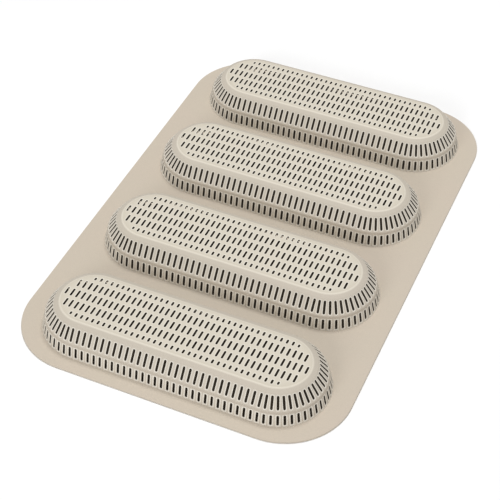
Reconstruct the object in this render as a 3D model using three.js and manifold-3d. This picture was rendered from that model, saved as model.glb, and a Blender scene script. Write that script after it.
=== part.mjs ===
// Perforated silicone baguette tray, lying mouth down: a thin flat sheet carries four
// long round-ended cups that rise from it, side by side, with their floors uppermost.
//
// Millimetres. X runs along the cups, Y across them, Z is up. The origin is at the middle
// of the sheet's underside, so the sheet lies on z = 0 and the cup floors face +Z.
// The real tray is one moulding. It is divided here at its own edges: the sheet, and for
// each cup the lower wall, the upper wall with its sloping shoulder, and the slotted floor.

import * as THREE from 'three';
import { mergeVertices } from 'three/addons/utils/BufferGeometryUtils.js';
import Module from 'manifold-3d';

const wasm = await Module();
wasm.setup();

// ---- Driving dimensions -------------------------------------------------------------

const SKIN = 1.5;                  // thickness of the silicone everywhere
const GAP = 0.3;                   // clearance between neighbouring solids
const OVERSHOOT = 1;               // how far a cutting solid runs past what it cuts
const HEIGHT = 25.2;               // sheet underside to the outer face of the cup floors

const SHEET_X = 253;               // sheet size along the cups
const SHEET_Y = 385;               // sheet size across the cups
const SHEET_CORNER = 50;           // corner radius of the sheet

const CUPS = 4;
const CUP_PITCH = 95.4;            // centre line to centre line
const HALF_STRAIGHT = 72;          // half the straight length between the two round ends

// Outer profile of a cup: distance from the centre line, and height above the sheet's
// underside, at each change of direction from the floor down to the sheet.
const FLOOR_EDGE = { w: 22.9, z: HEIGHT };
const SHOULDER = { w: 27.6, z: HEIGHT - 2.2 };
const CREASE = { w: 35.75, z: HEIGHT - 12.45 };
const FOOT = { w: 38.75, z: 0 };
const SHOULDER_RADIUS = 5;         // the shoulder turns into the upper wall in this radius

const SLOT_WIDTH = 1.4;
const SLOT_PITCH = 4.42;           // along the cup
const LONG_SLOT = 7.3;
const SHORT_SLOT = 3.9;
// Rows of slots across the floor: distance from the centre line, slot length, slots on
// each side of the middle one, and the length of the row's first and last slots, which
// are cut shorter on the side that the floor's round edge is on.
const SLOT_ROWS = [
  { y: 0, length: LONG_SLOT, half: 21, last: 6.7 },
  { y: 10.13, length: LONG_SLOT, half: 20, last: 7 },
  { y: -10.13, length: LONG_SLOT, half: 20, last: 7 },
  { y: 18.68, length: SHORT_SLOT, half: 18, last: 2.9 },
  { y: -18.68, length: SHORT_SLOT, half: 18, last: 2.9 },
];

const END_SEGMENTS = 32;           // facets in a full turn of a cup's round ends
const ARC_DIVISIONS = 8;           // an outline's arc gets twice this many facets
const SHOULDER_STEPS = 3;          // facets in the shoulder's turn

const SILICONE = { roughness: 0.7, metalness: 0 };
const COLOURS = { sheet: '#cdc0af', lower: '#a99f8d', upper: '#cbbfae', floor: '#e0d7c8' };

// ---- Profiles -----------------------------------------------------------------------

const point = (w, z) => new THREE.Vector2(w, z);

// The point where two lines, each given by a point and a direction, meet.
function meet(a, along, b, other) {
  const t = b.clone().sub(a).cross(other) / along.cross(other);
  return a.clone().addScaledVector(along, t);
}

// The outer profile from the floor's edge to the foot, with the shoulder's turn in facets.
function outerProfile() {
  const edge = point(FLOOR_EDGE.w, FLOOR_EDGE.z);
  const turn = point(SHOULDER.w, SHOULDER.z);
  const crease = point(CREASE.w, CREASE.z);
  const before = turn.clone().sub(edge).normalize();
  const after = crease.clone().sub(turn).normalize();
  const bend = Math.acos(before.dot(after));
  const reach = SHOULDER_RADIUS * Math.tan(bend / 2);
  const start = turn.clone().addScaledVector(before, -reach);
  const centre = start.clone().add(point(before.y, -before.x).multiplyScalar(SHOULDER_RADIUS));
  const arc = [];
  for (let i = 0; i <= SHOULDER_STEPS; i += 1) {
    arc.push(start.clone().rotateAround(centre, (-bend * i) / SHOULDER_STEPS));
  }
  return [edge, ...arc, crease, point(FOOT.w, FOOT.z)];
}

// A profile moved inwards by the skin's thickness, each corner staying a mitred corner.
function innerProfile(outer) {
  const steps = outer.slice(1).map((p, i) => p.clone().sub(outer[i]).normalize());
  const moved = steps.map((step, i) => outer[i].clone().add(point(step.y, -step.x).multiplyScalar(SKIN)));
  const inner = [meet(moved[0], steps[0], point(0, HEIGHT - SKIN), point(1, 0))];
  for (let i = 1; i < steps.length; i += 1) inner.push(meet(moved[i - 1], steps[i - 1], moved[i], steps[i]));
  inner.push(meet(moved.at(-1), steps.at(-1), point(0, FOOT.z), point(1, 0)));
  return inner;
}

// The stretch of a profile between two heights, cut square at both.
function between(profile, top, bottom) {
  const at = (z) => {
    const i = profile.findIndex((p, k) => k > 0 && p.y <= z && profile[k - 1].y >= z);
    const step = profile[i].clone().sub(profile[i - 1]);
    return meet(profile[i - 1], step, point(0, z), point(1, 0));
  };
  return [at(top), ...profile.filter((p) => p.y < top && p.y > bottom), at(bottom)];
}

// ---- Solids -------------------------------------------------------------------------

function toManifold(geometry) {
  const bare = geometry.clone();
  bare.deleteAttribute('normal');
  bare.deleteAttribute('uv');
  const merged = mergeVertices(bare, 1e-4);
  const index = merged.index.array;
  const whole = [];
  for (let i = 0; i < index.length; i += 3) {
    const [a, b, c] = [index[i], index[i + 1], index[i + 2]];
    if (a !== b && b !== c && c !== a) whole.push(a, b, c);
  }
  const mesh = new wasm.Mesh({
    numProp: 3,
    vertProperties: new Float32Array(merged.attributes.position.array),
    triVerts: new Uint32Array(whole),
  });
  return new wasm.Manifold(mesh);
}

function toGeometry(manifold) {
  const mesh = manifold.getMesh();
  const geometry = new THREE.BufferGeometry();
  geometry.setAttribute('position', new THREE.BufferAttribute(new Float32Array(mesh.vertProperties), 3));
  geometry.setIndex(new THREE.BufferAttribute(new Uint32Array(mesh.triVerts), 1));
  return geometry;
}

// A solid with straight sides and round ends, whose half section is the given profile
// closed along the centre line: a turned solid at each end and a straight one between.
function roundEnded(profile) {
  const top = point(0, profile[0].y);
  const bottom = point(0, profile.at(-1).y);
  const turned = new THREE.LatheGeometry([bottom, ...profile.toReversed(), top], END_SEGMENTS);
  turned.rotateX(Math.PI / 2);
  const mirrored = profile.map((p) => point(-p.x, p.y)).toReversed();
  const section = new THREE.Shape([...profile, ...mirrored]);
  const straight = new THREE.ExtrudeGeometry(section, { depth: 2 * HALF_STRAIGHT, bevelEnabled: false });
  straight.translate(0, 0, -HALF_STRAIGHT);
  straight.rotateX(Math.PI / 2);
  straight.rotateZ(Math.PI / 2);
  return toManifold(straight)
    .add(toManifold(turned.clone().translate(HALF_STRAIGHT, 0, 0)))
    .add(toManifold(turned.clone().translate(-HALF_STRAIGHT, 0, 0)));
}

// A ring of the skin between two heights. The hollow runs on past both ends of the ring.
function wallRing(top, bottom) {
  const outer = outerProfile();
  const inner = innerProfile(outer);
  const hollow = between(inner, Math.min(top, inner[0].y), bottom);
  const above = point(hollow[0].x, HEIGHT + OVERSHOOT);
  const below = point(hollow.at(-1).x, FOOT.z - OVERSHOOT);
  return roundEnded(between(outer, top, bottom)).subtract(roundEnded([above, ...hollow, below]));
}

// A straight-sided outline with round ends, at a distance from the centre line.
function roundEndedOutline(Path, w) {
  const outline = new Path();
  outline.absarc(HALF_STRAIGHT, 0, w, -Math.PI / 2, Math.PI / 2, false);
  outline.absarc(-HALF_STRAIGHT, 0, w, Math.PI / 2, (3 * Math.PI) / 2, false);
  outline.closePath();
  return outline;
}

// ---- Sub-parts ----------------------------------------------------------------------

const cupCentres = Array.from({ length: CUPS }, (_, i) => (i - (CUPS - 1) / 2) * CUP_PITCH);

// The sheet: a flat plate with large round corners and a round-ended opening for each cup.
function sheetGeometry() {
  const [x, y, r] = [SHEET_X / 2, SHEET_Y / 2, SHEET_CORNER];
  const outline = new THREE.Shape();
  outline.absarc(x - r, y - r, r, 0, Math.PI / 2, false);
  outline.absarc(-x + r, y - r, r, Math.PI / 2, Math.PI, false);
  outline.absarc(-x + r, -y + r, r, Math.PI, 1.5 * Math.PI, false);
  outline.absarc(x - r, -y + r, r, 1.5 * Math.PI, 2 * Math.PI, false);
  for (const centre of cupCentres) {
    const mouth = roundEndedOutline(THREE.Path, FOOT.w + GAP).getPoints(ARC_DIVISIONS);
    outline.holes.push(new THREE.Path(mouth.map((p) => point(p.x, p.y + centre))));
  }
  const plate = { depth: SKIN, bevelEnabled: false, curveSegments: ARC_DIVISIONS };
  return new THREE.ExtrudeGeometry(outline, plate);
}

// The floor of a cup: a flat round-ended plate inside the shoulder, cut by rows of slots
// that lie across the cup.
function floorGeometry() {
  const outline = roundEndedOutline(THREE.Shape, FLOOR_EDGE.w - GAP / 2);
  const plate = new THREE.ExtrudeGeometry(outline, {
    depth: SKIN,
    bevelEnabled: false,
    curveSegments: ARC_DIVISIONS,
  });
  plate.translate(0, 0, HEIGHT - SKIN);
  const slots = [];
  for (const row of SLOT_ROWS) {
    for (let column = -row.half; column <= row.half; column += 1) {
      const length = Math.abs(column) === row.half ? row.last : row.length;
      const inwards = (Math.sign(row.y) * (row.length - length)) / 2;
      const slot = toManifold(new THREE.BoxGeometry(SLOT_WIDTH, length, SKIN + 2 * OVERSHOOT));
      slots.push(slot.translate([column * SLOT_PITCH, row.y - inwards, HEIGHT - SKIN / 2]));
    }
  }
  return toGeometry(toManifold(plate).subtract(wasm.Manifold.union(slots)));
}

// The lower wall: the steep band from the sheet up to the crease.
function lowerWallGeometry() {
  return toGeometry(wallRing(CREASE.z - GAP / 2, FOOT.z));
}

// The upper wall: the sloping band above the crease, and the shoulder that turns in to
// the floor, where it stops short of the floor plate.
function upperWallGeometry() {
  const room = FLOOR_EDGE.w + GAP / 2;
  const floorSpace = [point(room, HEIGHT + OVERSHOOT), point(room, CREASE.z)];
  return toGeometry(wallRing(HEIGHT, CREASE.z + GAP / 2).subtract(roundEnded(floorSpace)));
}

// ---- Assembly -----------------------------------------------------------------------

function part(name, geometry, color) {
  const mesh = new THREE.Mesh(geometry, new THREE.MeshStandardMaterial({ color, ...SILICONE }));
  mesh.name = name;
  return mesh;
}

const tray = new THREE.Group();
tray.add(part('flange_sheet', sheetGeometry(), COLOURS.sheet));
cupCentres.forEach((centre, i) => {
  const cup = new THREE.Group();
  cup.position.y = centre;
  cup.add(part(`cup_${i + 1}_lower_wall`, lowerWallGeometry(), COLOURS.lower));
  cup.add(part(`cup_${i + 1}_upper_wall`, upperWallGeometry(), COLOURS.upper));
  cup.add(part(`cup_${i + 1}_floor`, floorGeometry(), COLOURS.floor));
  tray.add(cup);
});

export default tray;
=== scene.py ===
"""The looks of a perforated silicone baguette tray that lies mouth down.

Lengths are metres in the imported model's frame: X runs along the cups, Y across them and
Z up, with the sheet's underside on z = 0. The tray is one moulding, shown as the sheet
and, for each cup, a lower wall, an upper wall and a slotted floor, which meet without a
visible seam.
"""

import logging
import math
from dataclasses import dataclass
from enum import Enum

import bmesh
import bpy
from mathutils import Matrix, Quaternion, Vector


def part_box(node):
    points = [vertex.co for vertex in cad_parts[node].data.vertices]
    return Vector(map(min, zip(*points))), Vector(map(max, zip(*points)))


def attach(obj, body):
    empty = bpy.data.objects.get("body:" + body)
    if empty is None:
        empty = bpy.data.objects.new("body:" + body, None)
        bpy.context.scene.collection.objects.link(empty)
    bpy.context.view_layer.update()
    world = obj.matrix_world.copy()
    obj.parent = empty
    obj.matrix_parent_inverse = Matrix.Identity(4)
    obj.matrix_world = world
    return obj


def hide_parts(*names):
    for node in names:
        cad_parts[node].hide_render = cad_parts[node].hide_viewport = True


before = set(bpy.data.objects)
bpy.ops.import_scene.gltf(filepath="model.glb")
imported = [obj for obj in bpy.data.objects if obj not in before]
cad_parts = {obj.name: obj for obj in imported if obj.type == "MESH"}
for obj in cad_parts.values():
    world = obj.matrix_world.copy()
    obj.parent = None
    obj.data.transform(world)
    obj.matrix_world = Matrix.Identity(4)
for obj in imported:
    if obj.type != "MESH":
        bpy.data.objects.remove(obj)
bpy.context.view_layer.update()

MM = 0.001
SHARP_ANGLE = math.radians(60)  # an edge that turns further stays sharp
SHORTEST_STEP = 0.15 * MM  # two edges across a wall are never closer
WELD = 0.01 * MM  # points that are closer become one
SLIVER = 1e-7  # faces that are thinner are dissolved
PLACE_DIGITS = 8  # decimals, of a metre, in which corners that meet agree
LOG = logging.getLogger("baguette_tray")

Pair = tuple[float, float]
Triple = tuple[float, float, float]
Socket = bpy.types.NodeSocket
Value = float | bpy.types.NodeSocket
Rgba = tuple[float, float, float, float]
Size = float | int | bpy.types.Material


class Label(Enum):
    """Names of the values that the meshes carry from their making to their material."""

    CELL = "cell"
    END = "slot_end"
    STRETCH = "slot_stretch"
    # Painted highlight on the slots' rims, and painted shade in the slots where it is below
    # nought.
    PAINTED_LIGHT_AND_SHADE = "rim"


class Domain(Enum):
    """What a stored value belongs to."""

    POINT = "POINT"
    INSTANCE = "INSTANCE"


class Side(Enum):
    """The two faces of the silicone skin."""

    OUTER = 0
    INNER = 1


class CupPart(Enum):
    """The regions of a cup, each of which is a piece."""

    FLOOR = "floor"
    UPPER_WALL = "upper_wall"
    LOWER_WALL = "lower_wall"


# ---- Shapes -------------------------------------------------------------------------


@dataclass(frozen=True)
class Corner:
    """A change of direction in the cup's outer line, before it is rounded."""

    w: float
    z: float
    radius: float = 0.0


@dataclass(frozen=True)
class Stretch:
    """A straight or evenly curved stretch of the cup's outer line."""

    start: float
    length: float
    point: Vector
    heading: float
    bend: float

    def at(self, along: float, depth: float) -> Pair:
        """Finds a point on the stretch or inside the skin below it.

        Args:
            along: Distance along the whole line.
            depth: Distance below the outer face.

        Returns:
            The distance from the cup's centre line, and the height.
        """
        run = along - self.start
        heading = self.heading + self.bend * run
        if self.bend:
            centre = self.point + outward(self.heading) / self.bend
            place = centre - outward(heading) * (1 / self.bend + depth)
        else:
            place = self.point + forward(heading) * run - outward(heading) * depth
        return place.x, place.y


def forward(heading: float) -> Vector:
    """Returns the direction of travel at a heading, in the plane of the cup's section."""
    return Vector((math.cos(heading), math.sin(heading)))


def outward(heading: float) -> Vector:
    """Returns the direction out of the skin at a heading."""
    return Vector((-math.sin(heading), math.cos(heading)))


class Profile:
    """The cup's outer line from its floor down to the sheet, measured along its length."""

    def __init__(self, corners: list[Corner]) -> None:
        """Rounds the corners and lays the stretches end to end.

        Args:
            corners: The line's two ends and the corners between them, from the floor down.
        """
        self.stretches: list[Stretch] = []
        here = Vector((corners[0].w, corners[0].z))
        along = 0.0
        for before, corner, after in zip(corners, corners[1:], corners[2:]):
            first = heading_of(before, corner)
            turn = heading_of(corner, after) - first
            reach = corner.radius * math.tan(abs(turn) / 2)
            straight = (Vector((corner.w, corner.z)) - here).length - reach
            self.stretches.append(Stretch(along, straight, here, first, 0.0))
            along += straight
            here = here + forward(first) * straight
            bend = math.copysign(1 / corner.radius, turn)
            arc = Stretch(along, abs(turn) * corner.radius, here, first, bend)
            self.stretches.append(arc)
            along += arc.length
            here = Vector(arc.at(along, 0.0))
        last = corners[-1]
        straight = (Vector((last.w, last.z)) - here).length
        heading = heading_of(corners[-2], last)
        self.stretches.append(Stretch(along, straight, here, heading, 0.0))
        self.length = along + straight

    def at(self, along: float, depth: float) -> Pair:
        """Finds a point on the line, or inside the skin below it.

        Args:
            along: Distance along the line from its upper end.
            depth: Distance below the outer face.

        Returns:
            The distance from the cup's centre line, and the height.
        """
        for stretch in self.stretches:
            if along <= stretch.start + stretch.length:
                return stretch.at(along, depth)
        return self.stretches[-1].at(along, depth)

    def levels(self, first: float, last: float, facet: float) -> list[float]:
        """Lists where the line needs an edge, so that its bends stay smooth.

        Args:
            first: Distance along the line where the list starts.
            last: Distance along the line where it ends.
            facet: The largest turn between two edges, in radians.

        Returns:
            Distances along the line, from first to last.
        """
        found = [first]
        for stretch in self.stretches:
            turn = abs(stretch.bend) * stretch.length
            count = max(1, math.ceil(turn / facet))
            for step in range(count + 1):
                found.append(stretch.start + stretch.length * step / count)
        inside = sorted(level for level in found if first < level < last)
        kept = [first]
        for level in inside + [last]:
            if level - kept[-1] > SHORTEST_STEP:
                kept.append(level)
        kept[-1] = last
        return kept


def heading_of(start: Corner, end: Corner) -> float:
    """Returns the heading of the straight line between two corners."""
    return math.atan2(end.z - start.z, end.w - start.w)


@dataclass(frozen=True)
class SlotShape:
    """A slot with round ends and a soft rim on both faces of the skin.

    Attributes:
        width: Distance between its straight sides.
        rim: Radius of the soft rim.
        collar: Width of the flat band round the rim.
        painted_light: How much painted highlight the collar's outer edge takes, where the rim's
            top is 1.
        rim_fade: How much painted highlight the middle of the rim's curve takes.
        wall_fade: How much painted shade the top of the slot's wall takes, where the rest of it
            is 1.
        shade: How much painted shade the slot's wall takes, where 1 is darkest.
        cap_facets: How many facets each round end has.
    """

    width: float
    rim: float = 0.28 * MM
    collar: float = 0.32 * MM
    painted_light: float = 0.25
    rim_fade: float = 0.6
    wall_fade: float = 0.7
    shade: float = 1.0
    cap_facets: int = 4

    def rings(self, skin: float) -> list[Triple]:
        """Lists the rings of points that run round the slot, from the outer face inwards.

        Args:
            skin: Thickness of the skin.

        Returns:
            For each ring its distance outside the slot's wall, its depth below the outer face,
            and how much of the rim's painted highlight it takes, or of the slot's painted shade
            where that is less than nought.
        """
        edge = self.rim + self.collar
        tilt = math.radians(45)
        side, drop = self.rim * (1 - math.sin(tilt)), self.rim * (1 - math.cos(tilt))
        return [
            (edge, 0.0, self.painted_light),
            (self.rim, 0.0, 1.0),
            (side, drop, self.rim_fade),
            (0.0, self.rim, -self.wall_fade * self.shade),
            (0.0, 2 * self.rim, -self.shade),
            (0.0, skin - self.rim, -self.shade),
            (self.rim, skin, 0.0),
            (edge, skin, 0.0),
        ]

    def outline(self, outset: float, sides: list[float]) -> list[Pair]:
        """Draws the slot's outline, or a line outside it.

        Args:
            outset: Distance outside the slot's wall.
            sides: Distances along the slot of the points on its straight sides, in order.

        Returns:
            The points, as distances across and along the slot, starting on the right.
        """
        radius = self.width / 2 + outset
        turns = [math.pi * step / self.cap_facets for step in range(1, self.cap_facets)]
        last = [(radius * math.cos(a), sides[-1] + radius * math.sin(a)) for a in turns]
        first = [(-radius * math.cos(a), sides[0] - radius * math.sin(a)) for a in turns]
        right = [(radius, side) for side in sides]
        left = [(-radius, side) for side in reversed(sides)]
        return right + last + left + first


def matched(place: Triple) -> Triple:
    """Rounds a place, so that corners that meet there are the same."""
    return tuple(round(v, PLACE_DIGITS) for v in place)


class Patchwork:
    """Gathers four-sided faces and joins them where their corners meet."""

    def __init__(self) -> None:
        """Starts with no faces."""
        self.faces: list[list[Triple]] = []

    def quad(self, *corners: Triple) -> None:
        """Adds one face."""
        self.faces.append(list(corners))

    def strip(self, first: list[Triple], second: list[Triple], closed: bool) -> None:
        """Adds the faces between two rows of points.

        Args:
            first: One row of points.
            second: The other row, of as many points.
            closed: Whether the last points join up with the first.
        """
        count = len(first)
        for i in range(count if closed else count - 1):
            j = (i + 1) % count
            self.quad(first[i], first[j], second[j], second[i])

    def mesh(self, name: str, **values: dict[Triple, float]) -> bpy.types.Mesh:
        """Makes the mesh.

        Args:
            name: The mesh's name.
            **values: For each named value that the points carry, its amount at each
                point where it isn't nought.

        Returns:
            The mesh, with each value as an attribute of its points.
        """
        places: dict[Triple, int] = {}
        indices = []
        for face in self.faces:
            keys = [matched(corner) for corner in face]
            indices.append([places.setdefault(key, len(places)) for key in keys])
        made = bpy.data.meshes.new(name)
        made.from_pydata(list(places), [], indices)
        for label, amounts in values.items():
            layer = made.attributes.new(label, "FLOAT", "POINT")
            known = {matched(place): amount for place, amount in amounts.items()}
            for key, index in places.items():
                layer.data[index].value = known.get(key, 0.0)
        return made


# ---- Geometry Nodes -----------------------------------------------------------------


class NodeWriter:
    """Writes nodes into a geometry or shader tree with short calls."""

    def __init__(self, tree: bpy.types.NodeTree) -> None:
        """Keeps the tree that the nodes go into.

        Args:
            tree: The tree to write.
        """
        self.tree = tree

    def node(
        self, kind: str, inputs: dict[str | int, object] | None = None, **settings: object
    ) -> bpy.types.Node:
        """Adds a node.

        Args:
            kind: The node's type.
            inputs: What each input takes, by its name or number: a value or a socket.
            **settings: The node's own settings.

        Returns:
            The node.
        """
        made = self.tree.nodes.new(kind)
        for name, value in settings.items():
            setattr(made, name, value)
        for key, value in (inputs or {}).items():
            self.feed(made.inputs[key], value)
        return made

    def feed(self, socket: Socket, value: object) -> None:
        """Links a socket to an input, or sets the input's own value.

        Args:
            socket: The input.
            value: The socket to link, or the value to set.
        """
        if isinstance(value, bpy.types.NodeSocket):
            self.tree.links.new(value, socket)
        else:
            socket.default_value = value

    def math(self, operation: str, a: Value, b: Value = 0.0) -> Socket:
        """Adds a Math node and returns its result."""
        return self.node("ShaderNodeMath", {0: a, 1: b}, operation=operation).outputs[0]

    def clamp(self, value: Value, low: Value, high: Value) -> Socket:
        """Keeps a value between two others."""
        return self.math("MINIMUM", self.math("MAXIMUM", value, low), high)

    def split(self, vector: Socket) -> list[Socket]:
        """Splits a vector into its three parts."""
        return list(self.node("ShaderNodeSeparateXYZ", {0: vector}).outputs)

    def joined(self, parts: list[Socket]) -> Socket:
        """Joins several geometries into one.

        Args:
            parts: The geometries.

        Returns:
            The joined geometry.
        """
        join = self.node("GeometryNodeJoinGeometry")
        for part in parts:
            self.tree.links.new(part, join.inputs[0])
        return join.outputs[0]


class GeometryTree(NodeWriter):
    """A Geometry Nodes tree with named inputs, run once on a mesh."""

    def __init__(self, name: str, sizes: dict[str, Size]) -> None:
        """Makes the tree's inputs.

        Args:
            name: The tree's name.
            sizes: The value of each named input.
        """
        super().__init__(bpy.data.node_groups.new(name, "GeometryNodeTree"))
        kinds = {int: "NodeSocketInt", float: "NodeSocketFloat"}
        sockets = self.tree.interface
        sockets.new_socket("Geometry", in_out="INPUT", socket_type="NodeSocketGeometry")
        self.values: dict[str, Size] = {}
        for label, value in sizes.items():
            kind = kinds.get(type(value), "NodeSocketMaterial")
            socket = sockets.new_socket(label, in_out="INPUT", socket_type=kind)
            self.values[socket.identifier] = value
        sockets.new_socket("Geometry", in_out="OUTPUT", socket_type="NodeSocketGeometry")
        self.inputs = self.tree.nodes.new("NodeGroupInput").outputs

    def stored(self, geometry: Socket, label: Label, value: Value, domain: Domain) -> Socket:
        """Stores a value on the geometry under a label.

        Args:
            geometry: The geometry.
            label: The label.
            value: The value.
            domain: Whether it belongs to points or to whole instances.

        Returns:
            The geometry with the value on it.
        """
        settings = {"data_type": "FLOAT", "domain": domain.value}
        inputs = {"Geometry": geometry, "Name": label.value, "Value": value}
        return self.node("GeometryNodeStoreNamedAttribute", inputs, **settings).outputs[0]

    def read(self, label: Label) -> Socket:
        """Reads a stored value."""
        kind = "GeometryNodeInputNamedAttribute"
        return self.node(kind, {"Name": label.value}, data_type="FLOAT").outputs[0]

    def along_cup(self, straight: Value, end: Value, w: Value, z: Value) -> Socket:
        """Places points on the round-ended line round a cup.

        Args:
            straight: How many cells along the line a point is, by the straights' measure.
            end: The same by the round ends' measure, which differs between cells.
            w: The point's distance from the cup's centre line.
            z: Its height.

        Returns:
            The point's place, with the cup's centre on the origin.
        """
        sides, ends = self.inputs["Cells on a side"], self.inputs["Cells on an end"]
        far = self.math("ADD", sides, ends)
        back = self.math("ADD", far, sides)
        out = self.clamp(straight, 0.0, sides)
        home = self.clamp(self.math("SUBTRACT", straight, far), 0.0, sides)
        right = self.clamp(self.math("SUBTRACT", end, sides), 0.0, ends)
        left = self.clamp(self.math("SUBTRACT", end, back), 0.0, ends)
        before = self.math("MINIMUM", end, 0.0)
        cells = self.math("ADD", self.math("ADD", right, left), before)
        angle = self.math("MULTIPLY", cells, self.math("DIVIDE", math.pi, ends))
        length = self.inputs["Straight length"]
        step = self.math("DIVIDE", length, sides)
        shift = self.math("MULTIPLY", self.math("SUBTRACT", out, home), step)
        centre = self.math("SUBTRACT", shift, self.math("MULTIPLY", length, 0.5))
        x = self.math("ADD", centre, self.math("MULTIPLY", w, self.math("SINE", angle)))
        y = self.math("MULTIPLY", self.math("MULTIPLY", w, -1.0), self.math("COSINE", angle))
        return self.node("ShaderNodeCombineXYZ", {0: x, 1: y, 2: z}).outputs[0]

    def cup_outline(self, w: Value, top: Value, skin: Value) -> Socket:
        """Makes the upright face through the skin on a line round the cup.

        Args:
            w: The line's distance from the cup's centre line.
            top: Height of the skin's upper face.
            skin: The skin's thickness.

        Returns:
            The face, as a closed strip with two points for each cell.
        """
        sides, ends = self.inputs["Cells on a side"], self.inputs["Cells on an end"]
        count = self.math("MULTIPLY", self.math("ADD", sides, ends), 4.0)
        loop = self.node("GeometryNodeMeshCircle", {"Vertices": count})
        index = self.node("GeometryNodeInputIndex").outputs[0]
        cell = self.math("MULTIPLY", index, 0.5)
        place = self.along_cup(cell, cell, w, top)
        inputs = {"Geometry": loop.outputs[0], "Position": place}
        placed = self.node("GeometryNodeSetPosition", inputs).outputs[0]
        down = self.node("ShaderNodeCombineXYZ", {2: -1.0}).outputs[0]
        inputs = {"Mesh": placed, "Offset": down, "Offset Scale": skin}
        return self.node("GeometryNodeExtrudeMesh", inputs, mode="EDGES").outputs[0]

    def capped(self, walls: Socket, top: Value, skin: Value) -> Socket:
        """Closes a plate: fills between the open edges at its two faces.

        Args:
            walls: The plate's upright faces, open at the top and the bottom.
            top: Height of the upper face.
            skin: The plate's thickness.

        Returns:
            The closed plate.
        """
        neighbours = self.node("GeometryNodeInputMeshEdgeNeighbors").outputs[0]
        open_edge = self.math("LESS_THAN", neighbours, 1.5)
        height = self.split(self.node("GeometryNodeInputPosition").outputs[0])[2]
        middle = self.math("SUBTRACT", top, self.math("MULTIPLY", skin, 0.5))
        above = self.math("GREATER_THAN", height, middle)
        below = self.math("SUBTRACT", 1.0, above)
        parts = [walls]
        for side, level in ((above, top), (below, self.math("SUBTRACT", top, skin))):
            chosen = self.math("MULTIPLY", open_edge, side)
            inputs = {"Mesh": walls, "Selection": chosen}
            edges = self.node("GeometryNodeMeshToCurve", inputs).outputs[0]
            face = self.node("GeometryNodeFillCurve", {"Curve": edges}).outputs[0]
            lift = self.node("ShaderNodeCombineXYZ", {2: level}).outputs[0]
            inputs = {"Geometry": face, "Translation": lift}
            parts.append(self.node("GeometryNodeTransform", inputs).outputs[0])
        return self.joined(parts)

    def run(self, geometry: Socket, base: bpy.types.Mesh, name: str) -> bpy.types.Object:
        """Ends the tree, runs it on a mesh and keeps the result as a plain mesh.

        Args:
            geometry: The geometry that the tree has made.
            base: The mesh that the tree starts from.
            name: The new object's name.

        Returns:
            The object, with no modifier left on it.
        """
        real = self.node("GeometryNodeRealizeInstances", {0: geometry}).outputs[0]
        inputs = {"Geometry": real, "Distance": WELD}
        merged = self.node("GeometryNodeMergeByDistance", inputs).outputs[0]
        inputs = {"Geometry": merged, "Material": self.inputs["Finish"]}
        dressed = self.node("GeometryNodeSetMaterial", inputs).outputs[0]
        self.node("NodeGroupOutput", {0: dressed})
        maker = bpy.data.objects.new(name + "_maker", base)
        bpy.context.scene.collection.objects.link(maker)
        modifier = maker.modifiers.new("Maker", "NODES")
        modifier.node_group = self.tree
        for identifier, value in self.values.items():
            modifier[identifier] = value
        depsgraph = bpy.context.evaluated_depsgraph_get()
        plain = bpy.data.meshes.new_from_object(maker.evaluated_get(depsgraph))
        bpy.data.objects.remove(maker)
        plain.name = name
        return finished(plain, name)


def finished(mesh: bpy.types.Mesh, name: str) -> bpy.types.Object:
    """Turns a closed mesh's faces outwards, smooths it and makes it an object.

    Args:
        mesh: The mesh.
        name: The object's name.

    Returns:
        The object, at the origin.

    Raises:
        ValueError: If the mesh isn't closed.
    """
    work = bmesh.new()
    work.from_mesh(mesh)
    bmesh.ops.dissolve_degenerate(work, dist=SLIVER, edges=work.edges)
    gaps = sum(1 for edge in work.edges if len(edge.link_faces) != 2)
    if gaps:
        raise ValueError(f"{name} has {gaps} edges without exactly two faces")
    bmesh.ops.recalc_face_normals(work, faces=work.faces)
    for face in work.faces:
        face.smooth = True
    for edge in work.edges:
        edge.smooth = edge.calc_face_angle(0.0) < SHARP_ANGLE
    work.to_mesh(mesh)
    work.free()
    made = bpy.data.objects.new(name, mesh)
    bpy.context.scene.collection.objects.link(made)
    return made


# ---- Finish -------------------------------------------------------------------------


class FinishWriter(NodeWriter):
    """Writes a material's nodes."""

    def ranged(self, value: Socket, source: Pair, target: Pair) -> Socket:
        """Carries a value from one range over to another, and keeps it inside.

        Args:
            value: The value.
            source: The range that it comes in.
            target: The range that it leaves in.

        Returns:
            The new value.
        """
        inputs = {0: value, 1: source[0], 2: source[1], 3: target[0], 4: target[1]}
        return self.node("ShaderNodeMapRange", inputs).outputs[0]

    def noise(self, place: Socket, size: float, detail: float) -> Socket:
        """Adds a soft random pattern.

        Args:
            place: The coordinates that fix the pattern.
            size: Size of the pattern's marks.
            detail: How many finer layers it has.

        Returns:
            The pattern's value.
        """
        inputs = {"Vector": place, "Scale": 1 / size, "Detail": detail}
        return self.node("ShaderNodeTexNoise", inputs).outputs[0]

    def mixed(self, share: Value, first: Socket | Rgba, second: Socket | Rgba) -> Socket:
        """Mixes two colours.

        Args:
            share: How much of the second colour there is.
            first: One colour, or its socket.
            second: The other.

        Returns:
            The mixed colour.
        """
        inputs = {"Factor": share, 6: first, 7: second}
        return self.node("ShaderNodeMix", inputs, data_type="RGBA").outputs[2]


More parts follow.
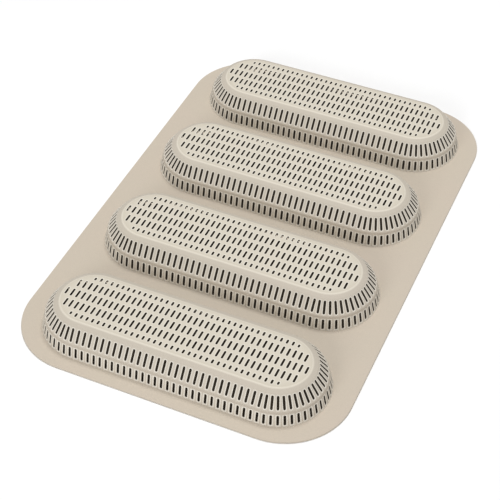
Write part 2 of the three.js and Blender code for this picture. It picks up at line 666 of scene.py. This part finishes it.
@dataclass(frozen=True)
class SiliconeFinish:
    """Matt beige silicone with a fine grain; painted highlights make the floors, their edges
    and the slots' rims paler, painted light makes the lower parts lighter and warmer, and
    painted shade darkens the slots.

    Attributes:
        name: The material's name.
        warm: One of the two skin colours that drift into each other.
        cool: The other.
        top: Colour of the floors, paler than the skin as a painted highlight.
        edge: Colour of the line round each floor, a painted highlight.
        rim: Colour of the slots' rims, a painted highlight.
        slot_painted_shade: Colour inside the slots, a painted shade.
        rim_share: How much of the rims' painted highlight a rim takes.
        wall_share: How much of the painted shade a slot's wall takes.
        low: What the sheet's colour is multiplied by, which fades out upwards: painted light
            that makes the sheet and the lower walls lighter and warmer.
        low_until: Height where that has faded out.
        edge_heights: Heights between which the skin turns into the painted highlight line.
        top_heights: Heights between which the line turns into the floors' painted highlight.
        roughness: Mean roughness.
        roughness_spread: How far the grain moves it, either way.
        speckle: Factors on the colour at the grain's low and high marks.
        speckle_range: The grain's values there.
        specular: Strength of the surface's shine.
        grain: Size of the grain's marks.
        grain_height: How far they stand out.
        grain_strength: How much of that the light shows.
        cloud: Size of the marks in which the two skin colours drift.
    """

    name: str = "silicone"
    warm: Rgba = (0.555, 0.49, 0.415, 1.0)
    cool: Rgba = (0.535, 0.495, 0.41, 1.0)
    # Painted highlight on the floors.
    top: Rgba = (0.615, 0.563, 0.465, 1.0)
    # Painted highlight on the line round each floor.
    edge: Rgba = (0.70, 0.645, 0.545, 1.0)
    # Painted highlight on the slots' rims.
    rim: Rgba = (0.90, 0.86, 0.77, 1.0)
    # Painted shade inside the slots.
    slot_painted_shade: Rgba = (0.022, 0.017, 0.011, 1.0)
    rim_share: float = 0.85
    wall_share: float = 0.97
    # Painted light: lighter and warmer low down, fading out by low_until.
    low: Triple = (1.05, 1.015, 0.99)
    low_until: float = 24 * MM
    edge_heights: Pair = (24.5 * MM, 24.85 * MM)
    top_heights: Pair = (25.06 * MM, 25.18 * MM)
    roughness: float = 0.62
    roughness_spread: float = 0.08
    speckle: Pair = (0.95, 1.04)
    speckle_range: Pair = (0.3, 0.7)
    specular: float = 0.35
    grain: float = 0.45 * MM
    grain_height: float = 0.02 * MM
    grain_strength: float = 0.5
    cloud: float = 60 * MM

    def material(self) -> bpy.types.Material:
        """Makes the material.

        Returns:
            The material, whose patterns are fixed to the tray.
        """
        made = bpy.data.materials.new(self.name)
        made.use_nodes = True
        made.node_tree.nodes.clear()
        write = FinishWriter(made.node_tree)
        place = write.node("ShaderNodeTexCoord").outputs["Object"]
        grain = write.noise(place, self.grain, 3.0)
        # Above nought this value is painted highlight on the slots' rims, below nought painted
        # shade on the slots' walls.
        painted_light = write.node("ShaderNodeAttribute", attribute_name=Label.PAINTED_LIGHT_AND_SHADE.value).outputs["Fac"]
        pale = write.math("MULTIPLY", write.math("MAXIMUM", painted_light, 0.0), self.rim_share)
        dark = write.math("MULTIPLY", write.math("MINIMUM", painted_light, 0.0), -self.wall_share)
        # Painted highlight on the rims.
        rimmed = write.mixed(pale, self.skin_tone_with_painted_light(write, place, grain), self.rim)
        # Painted shade inside the slots.
        colour = write.mixed(dark, rimmed, self.slot_painted_shade)
        rough = (self.roughness - self.roughness_spread, self.roughness + self.roughness_spread)
        gloss = write.ranged(grain, (0.0, 1.0), rough)
        strength = self.grain_strength
        inputs = {"Height": grain, "Distance": self.grain_height, "Strength": strength}
        bump = write.node("ShaderNodeBump", inputs).outputs[0]
        inputs = {"Base Color": colour, "Roughness": gloss, "Normal": bump}
        inputs["Specular IOR Level"] = self.specular
        shader = write.node("ShaderNodeBsdfPrincipled", inputs).outputs[0]
        write.node("ShaderNodeOutputMaterial", {"Surface": shader})
        return made

    def skin_tone_with_painted_light(self, write: FinishWriter, place: Socket, grain: Socket) -> Socket:
        """Makes the plain skin's colour: it drifts a little, is painted lighter low down, and
        carries painted highlights on the floors and their edges.

        Args:
            write: The tree's writer.
            place: The coordinates that fix the patterns.
            grain: The fine grain's value.

        Returns:
            The colour.
        """
        height = write.split(place)[2]
        cloud = write.noise(place, self.cloud, 2.0)
        tint = write.mixed(cloud, self.cool, self.warm)
        # Painted light: the colour is lighter and warmer low down, and fades out upwards.
        low = write.node("ShaderNodeVectorMath", {0: tint, 1: self.low}, operation="MULTIPLY")
        raised = write.ranged(height, (0.0, self.low_until), (0.0, 1.0))
        walls = write.mixed(raised, low.outputs[0], tint)
        # Painted highlights: a pale line round each floor, then the floor's paler colour.
        near = write.ranged(height, self.edge_heights, (0.0, 1.0))
        level = write.ranged(height, self.top_heights, (0.0, 1.0))
        base = write.mixed(level, write.mixed(near, walls, self.edge), self.top)
        speckle = write.ranged(grain, self.speckle_range, self.speckle)
        inputs = {0: base, "Scale": speckle}
        return write.node("ShaderNodeVectorMath", inputs, operation="SCALE").outputs[0]


# ---- The tray -----------------------------------------------------------------------


@dataclass(frozen=True)
class CupPlan:
    """Sizes that every cup of the tray shares."""

    height: float
    skin: float
    straight: float = 144 * MM
    side_cells: int = 30
    end_cells: int = 24
    floor_seam: float = 22.4 * MM
    floor_edge: Corner = Corner(22.9 * MM, 0.0, 1.8 * MM)
    shoulder: Corner = Corner(27.9 * MM, -1.9 * MM, 3.5 * MM)
    crease: Corner = Corner(35.6 * MM, -12.0 * MM, 2.0 * MM)
    foot: Corner = Corner(38.25 * MM, -23.7 * MM, 0.9 * MM)
    sheet_seam: float = 40.0 * MM

    @property
    def pitch(self) -> float:
        """Distance between the slots on a straight side."""
        return self.straight / self.side_cells

    def profile(self) -> Profile:
        """Makes the cup's outer line.

        Returns:
            The line, from the floor's seam to the sheet's.
        """
        corners = [Corner(self.floor_seam, 0.0), self.floor_edge, self.shoulder]
        corners += [self.crease, self.foot, Corner(self.sheet_seam, self.foot.z)]
        return Profile([Corner(c.w, c.z + self.height, c.radius) for c in corners])

    def sizes(self, material: bpy.types.Material) -> dict[str, Size]:
        """Lists the inputs that the cup's trees share.

        Args:
            material: The pieces' material.

        Returns:
            The inputs' values by their names.
        """
        return {
            "Straight length": self.straight,
            "Cells on a side": self.side_cells,
            "Cells on an end": self.end_cells,
            "Finish": material,
        }


@dataclass(frozen=True)
class WallBand:
    """A band of a cup's wall, pierced by a slot in each of its cells.

    Attributes:
        plan: The cup's sizes.
        first: Distance along the cup's line where the band starts.
        last: Distance where it ends.
        slot_first: Distance where its slots start.
        slot_last: Distance where they end.
        side_points: How many points each straight side of a slot has.
        slot: The slots' shape.
        margin: Length of the plain skin between a slot's tip and the next edge.
        facet: The largest turn between two edges across the band.
    """

    plan: CupPlan
    first: float
    last: float
    slot_first: float
    slot_last: float
    side_points: int
    slot: SlotShape
    margin: float = 0.95 * MM
    facet: float = math.radians(12)

    def build(self, name: str, material: bpy.types.Material) -> bpy.types.Object:
        """Makes the band, with the cup's centre on the origin.

        Args:
            name: The piece's name.
            material: Its material.

        Returns:
            The piece.
        """
        core = self.slot.width / 2 + self.slot.rim + self.slot.collar
        sizes = {**self.plan.sizes(material), "Slot half width": core}
        tree = GeometryTree(name + "_tree", sizes)
        sides, ends = tree.inputs["Cells on a side"], tree.inputs["Cells on an end"]
        count = tree.math("MULTIPLY", tree.math("ADD", sides, ends), 2.0)
        row = tree.node("GeometryNodeMeshLine", {"Count": count, "Offset": (0.0, 0.0, 0.0)})
        inputs = {"Points": row.outputs[0], "Instance": tree.inputs["Geometry"]}
        copies = tree.node("GeometryNodeInstanceOnPoints", inputs).outputs[0]
        index = tree.node("GeometryNodeInputIndex").outputs[0]
        numbered = tree.stored(copies, Label.CELL, index, Domain.INSTANCE)
        cells = tree.node("GeometryNodeRealizeInstances", {0: numbered}).outputs[0]
        u, w, z = tree.split(tree.node("GeometryNodeInputPosition").outputs[0])
        straight, end = self.cell_places(tree, u, w)
        inputs = {"Geometry": cells, "Position": tree.along_cup(straight, end, w, z)}
        bent = tree.node("GeometryNodeSetPosition", inputs).outputs[0]
        return tree.run(bent, self.cell(), name)

    def cell_places(self, tree: GeometryTree, u: Socket, w: Socket) -> list[Socket]:
        """Finds how far along the line a point is, in cells, on a straight and on an end.

        The slot keeps its width on the round ends, and only the plain skin beside it
        narrows.

        Args:
            tree: The tree.
            u: The point's distance from the middle of its cell.
            w: Its distance from the cup's centre line.

        Returns:
            The two distances.
        """
        cell = tree.read(Label.CELL)
        length, sides = tree.inputs["Straight length"], tree.inputs["Cells on a side"]
        pitch = tree.math("DIVIDE", length, sides)
        turn = tree.math("DIVIDE", math.pi, tree.inputs["Cells on an end"])
        narrow = tree.math("MULTIPLY", w, turn)
        core = tree.inputs["Slot half width"]
        reach = tree.math("ABSOLUTE", u)
        inner = tree.math("MINIMUM", reach, core)
        beyond = tree.math("SUBTRACT", reach, inner)
        room = tree.math("SUBTRACT", tree.math("MULTIPLY", narrow, 0.5), core)
        wide = tree.math("SUBTRACT", tree.math("MULTIPLY", pitch, 0.5), core)
        shrunk = tree.math("MULTIPLY", beyond, tree.math("DIVIDE", room, wide))
        moved = tree.math("ADD", inner, shrunk)
        signed = tree.math("MULTIPLY", moved, tree.math("SIGN", u))
        straight = tree.math("ADD", cell, tree.math("DIVIDE", u, pitch))
        end = tree.math("ADD", cell, tree.math("DIVIDE", signed, narrow))
        return [straight, end]

    def cell(self) -> bpy.types.Mesh:
        """Makes one cell, as it is on a straight side of the cup.

        Returns:
            The cell's mesh: x runs along the wall, y away from the centre line, z up.
        """
        profile, skin = self.plan.profile(), self.plan.skin
        half = self.plan.pitch / 2
        low, high = self.slot_first - self.margin, self.slot_last + self.margin
        radius = self.slot.width / 2
        start, stop = self.slot_first + radius, self.slot_last - radius
        steps = self.side_points - 1
        sides = [start + (stop - start) * i / steps for i in range(self.side_points)]
        corners = self.slot.cap_facets // 2

        def place(pair: Pair, depth: float) -> Triple:
            """Bends a point of the flat cell over the cup's line."""
            w, z = profile.at(pair[1], depth)
            return pair[0], w, z

        work = Patchwork()
        tones: dict[Triple, float] = {}
        rings = []
        # Each ring carries its share of painted highlight, or of painted shade where it is
        # below nought.
        for outset, depth, tone in self.slot.rings(skin):
            ring = [place(pair, depth) for pair in self.slot.outline(outset, sides)]
            tones.update({point: tone for point in ring if tone})
            rings.append(ring)
        for one, other in zip(rings, rings[1:]):
            work.strip(one, other, closed=True)
        edge = [(half, side) for side in sides]
        edge += self.corner_points(half, high, corners)
        edge += [(-half, side) for side in reversed(sides)]
        edge += self.corner_points(-half, low, corners)
        above = profile.levels(self.first, low, self.facet)
        below = profile.levels(high, self.last, self.facet)
        for side, ring in ((Side.OUTER, rings[0]), (Side.INNER, rings[-1])):
            depth = skin * side.value
            work.strip(ring, [place(pair, depth) for pair in edge], closed=True)
            for levels in (above, below):
                rows = [[place((u, s), depth) for u in (-half, 0.0, half)] for s in levels]
                for one, other in zip(rows, rows[1:]):
                    work.strip(one, other, closed=False)
        for along in (self.first, self.last):
            outer = [place((u, along), 0.0) for u in (-half, 0.0, half)]
            inner = [place((u, along), skin) for u in (-half, 0.0, half)]
            work.strip(outer, inner, closed=False)
        return work.mesh("wall_cell", **{Label.PAINTED_LIGHT_AND_SHADE.value: tones})

    def corner_points(self, half: float, along: float, corners: int) -> list[Pair]:
        """Lists the cell's edge points beyond one end of the slot.

        Args:
            half: Half the cell's width, with the sign of the side that comes first.
            along: Distance along the wall of that edge of the cell.
            corners: How many of the slot's end points lie before its tip, with the tip.

        Returns:
            The two corners of the cell with its middle between them.
        """
        spread = [(half, along)] * (corners - 1)
        return spread + [(0.0, along)] + [(-u, s) for u, s in spread]


@dataclass(frozen=True)
class SlotRow:
    """A row of slots along a cup's floor, each slot lying across the cup."""

    y: float
    length: float
    each_side: int
    end_length: float


@dataclass(frozen=True)
class FloorPlate:
    """The flat floor of a cup, cut by rows of slots."""

    plan: CupPlan
    pitch: float = 4.42 * MM
    slot: SlotShape = SlotShape(width=1.55 * MM)
    rows: tuple[SlotRow, ...] = (
        SlotRow(0.0, 7.3 * MM, 21, 6.7 * MM),
        SlotRow(10.13 * MM, 7.3 * MM, 20, 7.0 * MM),
        SlotRow(-10.13 * MM, 7.3 * MM, 20, 7.0 * MM),
        SlotRow(18.68 * MM, 3.9 * MM, 18, 2.9 * MM),
        SlotRow(-18.68 * MM, 3.9 * MM, 18, 2.9 * MM),
    )

    def build(self, name: str, material: bpy.types.Material) -> bpy.types.Object:
        """Makes the floor, with the cup's centre on the origin.

        Args:
            name: The piece's name.
            material: Its material.

        Returns:
            The piece.
        """
        sizes = {
            **self.plan.sizes(material),
            "Slot pitch": self.pitch,
            "Top": self.plan.height,
            "Skin": self.plan.skin,
            "Edge": self.plan.floor_seam,
        }
        tree = GeometryTree(name + "_tree", sizes)
        points = tree.joined([self.row_points(tree, row) for row in self.rows])
        inputs = {"Points": points, "Instance": tree.inputs["Geometry"]}
        copies = tree.node("GeometryNodeInstanceOnPoints", inputs).outputs[0]
        slots = tree.node("GeometryNodeRealizeInstances", {0: copies}).outputs[0]
        pull = tree.math("MULTIPLY", tree.read(Label.END), tree.read(Label.STRETCH))
        offset = tree.node("ShaderNodeCombineXYZ", {1: pull}).outputs[0]
        inputs = {"Geometry": slots, "Offset": offset}
        drawn = tree.node("GeometryNodeSetPosition", inputs).outputs[0]
        top, skin = tree.inputs["Top"], tree.inputs["Skin"]
        rim = tree.cup_outline(tree.inputs["Edge"], top, skin)
        plate = tree.capped(tree.joined([drawn, rim]), top, skin)
        return tree.run(plate, self.slot_tube(), name)

    def row_points(self, tree: GeometryTree, row: SlotRow) -> Socket:
        """Lays out a row's points, each with its slot's length on it.

        Args:
            tree: The tree.
            row: The row.

        Returns:
            The points.
        """
        count = 2 * row.each_side + 1
        pitch = tree.inputs["Slot pitch"]
        start = tree.math("MULTIPLY", pitch, -float(row.each_side))
        first = tree.node("ShaderNodeCombineXYZ", {0: start, 1: row.y, 2: tree.inputs["Top"]})
        step = tree.node("ShaderNodeCombineXYZ", {0: pitch})
        inputs = {"Count": count, "Start Location": first.outputs[0], "Offset": step.outputs[0]}
        line = tree.node("GeometryNodeMeshLine", inputs).outputs[0]
        index = tree.node("GeometryNodeInputIndex").outputs[0]
        middle = tree.math("SUBTRACT", index, float(row.each_side))
        is_end = tree.math("GREATER_THAN", tree.math("ABSOLUTE", middle), row.each_side - 0.5)
        less = (row.length - row.end_length) / 2
        radius = self.slot.width / 2
        trim = tree.math("MULTIPLY", is_end, less)
        stretch = tree.math("SUBTRACT", row.length / 2 - radius, trim)
        inward = tree.math("MULTIPLY", trim, -math.copysign(1.0, row.y) if row.y else 0.0)
        shift = tree.node("ShaderNodeCombineXYZ", {1: inward}).outputs[0]
        inputs = {"Geometry": line, "Offset": shift}
        moved = tree.node("GeometryNodeSetPosition", inputs).outputs[0]
        return tree.stored(moved, Label.STRETCH, stretch, Domain.POINT)

    def slot_tube(self) -> bpy.types.Mesh:
        """Makes a slot's wall with its rims, at no length: two half circles back to back.

        Returns:
            The mesh, whose points know which end of the slot they belong to.
        """
        work = Patchwork()
        tones: dict[Triple, float] = {}
        ends: dict[Triple, float] = {}
        rings = []
        apart = 0.001 * MM
        # Each ring carries its share of painted highlight, or of painted shade where it is
        # below nought.
        for outset, depth, tone in self.slot.rings(self.plan.skin):
            outline = self.slot.outline(outset, [-apart, apart])
            ring = [(x, y, -depth) for x, y in outline]
            tones.update({point: tone for point in ring if tone})
            ends.update({point: math.copysign(1.0, point[1]) for point in ring})
            rings.append(ring)
        for one, other in zip(rings, rings[1:]):
            work.strip(one, other, closed=True)
        return work.mesh("floor_slot", **{Label.PAINTED_LIGHT_AND_SHADE.value: tones, Label.END.value: ends})


@dataclass(frozen=True)
class FlangeSheet:
    """The flat sheet that joins the cups, with large round corners and a soft edge."""

    plan: CupPlan
    centres: tuple[float, ...]
    half_x: float
    half_y: float
    corner: float = 50 * MM
    corner_facets: int = 28
    edge: float = 0.5 * MM
    edge_facets: int = 4
    collar: float = 0.4 * MM

    def build(self, name: str, material: bpy.types.Material) -> bpy.types.Object:
        """Makes the sheet.

        Args:
            name: The piece's name.
            material: Its material.

        Returns:
            The piece.
        """
        skin = self.plan.skin
        sizes = {**self.plan.sizes(material), "Skin": skin, "Seam": self.plan.sheet_seam}
        tree = GeometryTree(name + "_tree", sizes)
        thickness = tree.inputs["Skin"]
        mouth = tree.cup_outline(tree.inputs["Seam"], thickness, thickness)
        walls = [tree.inputs["Geometry"]]
        for centre in self.centres:
            inputs = {"Geometry": mouth, "Translation": (0.0, centre, 0.0)}
            walls.append(tree.node("GeometryNodeTransform", inputs).outputs[0])
        plate = tree.capped(tree.joined(walls), thickness, thickness)
        return tree.run(plate, self.edge_band(), name)

    def edge_band(self) -> bpy.types.Mesh:
        """Makes the sheet's rounded outer edge.

        Returns:
            The mesh, open at the top and the bottom.
        """
        turns = [math.pi / 2 * i / self.edge_facets for i in range(self.edge_facets + 1)]
        skin, r = self.plan.skin, self.edge
        upper = [(r * (1 - math.sin(a)), skin - r * (1 - math.cos(a))) for a in turns]
        lower = [(inset, skin - z) for inset, z in reversed(upper)]
        inner = r + self.collar
        line = [(inner, skin), *upper, *lower, (inner, 0.0)]
        rings = [[(x, y, z) for x, y in self.outline(inset)] for inset, z in line]
        work = Patchwork()
        for one, other in zip(rings, rings[1:]):
            work.strip(one, other, closed=True)
        return work.mesh("sheet_edge")

    def outline(self, inset: float) -> list[Pair]:
        """Draws the sheet's outline, or a line inside it.

        Args:
            inset: Distance inside the outline.

        Returns:
            The points, anticlockwise from above.
        """
        radius = self.corner - inset
        x, y = self.half_x - self.corner, self.half_y - self.corner
        centres = [(x, y), (-x, y), (-x, -y), (x, -y)]
        points = []
        for quarter, (cx, cy) in enumerate(centres):
            for step in range(self.corner_facets + 1):
                a = math.pi / 2 * (quarter + step / self.corner_facets)
                points.append((cx + radius * math.cos(a), cy + radius * math.sin(a)))
        return points


@dataclass
class Cup:
    """One long cup: its lower wall, its upper wall with the shoulder, and its floor."""

    number: int
    centre: float
    plan: CupPlan
    upper_slot: Pair = (6.85 * MM, 17 * MM)
    lower_slot: Pair = (21.1 * MM, 29.4 * MM)
    # Painted shade: the upper band's slot walls take less of it.
    upper_shape: SlotShape = SlotShape(width=1.75 * MM, collar=0.42 * MM, shade=0.75)
    # Painted highlight: the lower band's collars take more of it.
    lower_shape: SlotShape = SlotShape(width=1.7 * MM, collar=0.42 * MM, painted_light=0.9)
    seam: float = 19.16 * MM

    def build(self, material: bpy.types.Material) -> list[bpy.types.Object]:
        """Makes the cup's pieces.

        Args:
            material: Their material.

        Returns:
            The pieces.
        """
        length = self.plan.profile().length
        upper = (self.plan, 0.0, self.seam, *self.upper_slot)
        lower = (self.plan, self.seam, length, *self.lower_slot)
        makers = {
            CupPart.FLOOR: FloorPlate(self.plan),
            CupPart.UPPER_WALL: WallBand(*upper, side_points=4, slot=self.upper_shape),
            CupPart.LOWER_WALL: WallBand(*lower, side_points=2, slot=self.lower_shape),
        }
        made = []
        for part, maker in makers.items():
            piece = maker.build(f"silicone_{part.value}_{self.number}", material)
            piece.data.transform(Matrix.Translation((0.0, self.centre, 0.0)))
            dress(piece, f"cup_{self.number}_{part.value}")
            made.append(piece)
        return made


def dress(piece: bpy.types.Object, node: str) -> None:
    """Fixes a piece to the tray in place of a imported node.

    Args:
        piece: The piece.
        node: The node that it stands for.
    """
    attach(piece, "root")
    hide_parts(node)
    LOG.info("%s: %d faces, for %s", piece.name, len(piece.data.polygons), node)


@dataclass
class BaguetteTray:
    """The whole tray."""

    cups: int = 4
    finish: SiliconeFinish = SiliconeFinish()

    def build(self) -> list[bpy.types.Object]:
        """Makes every piece of the tray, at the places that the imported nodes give.

        Returns:
            The pieces.
        """
        material = self.finish.material()
        low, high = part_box("cup_1_floor")
        plan = CupPlan(height=high.z, skin=high.z - low.z)
        pieces = []
        centres = []
        for number in range(1, self.cups + 1):
            low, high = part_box(f"cup_{number}_floor")
            centres.append((low.y + high.y) / 2)
            pieces += Cup(number, centres[-1], plan).build(material)
        low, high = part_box("flange_sheet")
        sheet = FlangeSheet(plan, tuple(centres), high.x, high.y)
        pieces.append(sheet.build("silicone_sheet", material))
        dress(pieces[-1], "flange_sheet")
        return pieces


# ---- Studio -------------------------------------------------------------------------


@dataclass(frozen=True)
class Softbox:
    """A large soft light aimed at the tray."""

    name: str
    place: Triple
    size: float
    power: float

    def build(self, target: Vector) -> None:
        """Makes the light.

        Args:
            target: The point that it faces.
        """
        data = bpy.data.lights.new(self.name, "AREA")
        data.shape = "DISK"
        data.size = self.size
        data.energy = self.power
        made = bpy.data.objects.new(self.name, data)
        made.location = self.place
        aim = target - Vector(self.place)
        made.rotation_euler = aim.to_track_quat("-Z", "Y").to_euler()
        bpy.context.scene.collection.objects.link(made)


@dataclass(frozen=True)
class Studio:
    """A pale floor, a dark board of painted shade hidden under the tray so that its slots read
    dark, soft lights and the camera.
    """

    eye: Triple = (0.2930, -0.6937, 0.7110)
    azimuth: float = 23.771
    elevation: float = 44.374
    roll: float = -0.121
    lens: float = 95.37
    floor_half: Pair = (3.0, 3.0)
    floor_colour: Rgba = (0.96, 0.96, 0.96, 1.0)
    # A dark board of painted shade under the tray: the inside seen through the slots reads
    # dark.
    painted_shade_board_half: Pair = (0.116, 0.186)
    painted_shade_board_cut: float = 0.03
    painted_shade_board_height: float = 0.2 * MM
    painted_shade_board_colour: Rgba = (0.12, 0.095, 0.065, 1.0)
    matt: float = 0.9
    white: Rgba = (1.0, 1.0, 1.0, 1.0)
    sky: float = 0.37
    nearest: float = 0.01
    lights: tuple[Softbox, ...] = (
        Softbox("overhead", (0.0, 0.45, 1.8), 0.8, 21.5),
        Softbox("front", (-0.1, -1.7, 0.8), 0.8, 11.5),
    )

    def build(self) -> None:
        """Makes the floor, the board of painted shade, the lights and the camera."""
        self.plane("floor", self.floor_half, 0.0, 0.0, self.floor_colour)
        # Painted shade: a dark board under the tray darkens what the slots show.
        self.plane("painted_shade_board", self.painted_shade_board_half, self.painted_shade_board_cut, self.painted_shade_board_height, self.painted_shade_board_colour)
        for light in self.lights:
            light.build(Vector((0.0, 0.0, 0.0)))
        world = bpy.data.worlds.new("studio")
        world.use_nodes = True
        background = world.node_tree.nodes["Background"]
        background.inputs["Color"].default_value = self.white
        background.inputs["Strength"].default_value = self.sky
        scene = bpy.context.scene
        scene.world = world
        scene.view_settings.view_transform = "Standard"
        self.camera()

    def plane(self, name: str, half: Pair, cut: float, height: float, colour: Rgba) -> None:
        """Makes a level plane of the studio, which isn't part of the tray.

        Args:
            name: The plane's name.
            half: Half its size along X and Y.
            cut: How much of each side its cut corners take; nought leaves them square.
            height: Its height.
            colour: Its colour.
        """
        x, y = half
        corners = []
        for sx, sy in ((1, 1), (-1, 1), (-1, -1), (1, -1)):
            pair = [(sx * x, sy * (y - cut), height), (sx * (x - cut), sy * y, height)]
            corners += (pair if sx == sy else pair[::-1])[: 2 if cut else 1]
        mesh = bpy.data.meshes.new(name)
        mesh.from_pydata(corners, [], [range(len(corners))])
        material = bpy.data.materials.new(name)
        material.use_nodes = True
        shader = material.node_tree.nodes["Principled BSDF"]
        shader.inputs["Base Color"].default_value = colour
        shader.inputs["Roughness"].default_value = self.matt
        mesh.materials.append(material)
        made = bpy.data.objects.new(name, mesh)
        bpy.context.scene.collection.objects.link(made)

    def camera(self) -> None:
        """Makes the camera and looks through it."""
        data = bpy.data.cameras.new("camera")
        data.lens = self.lens
        data.clip_start = self.nearest
        made = bpy.data.objects.new("camera", data)
        made.location = self.eye
        turn, tilt = math.radians(self.azimuth), math.radians(self.elevation)
        level = math.cos(tilt)
        look = Vector((-math.sin(turn) * level, math.cos(turn) * level, -math.sin(tilt)))
        lean = Quaternion(look, math.radians(self.roll))
        made.rotation_euler = (lean @ look.to_track_quat("-Z", "Y")).to_euler()
        bpy.context.scene.collection.objects.link(made)
        bpy.context.scene.camera = made


def main() -> None:
    """Builds the tray and its studio."""
    logging.basicConfig(level=logging.INFO, format="%(name)s: %(message)s")
    pieces = BaguetteTray().build()
    LOG.info("%d pieces", len(pieces))
    Studio().build()


if __name__ == "__main__":
    main()
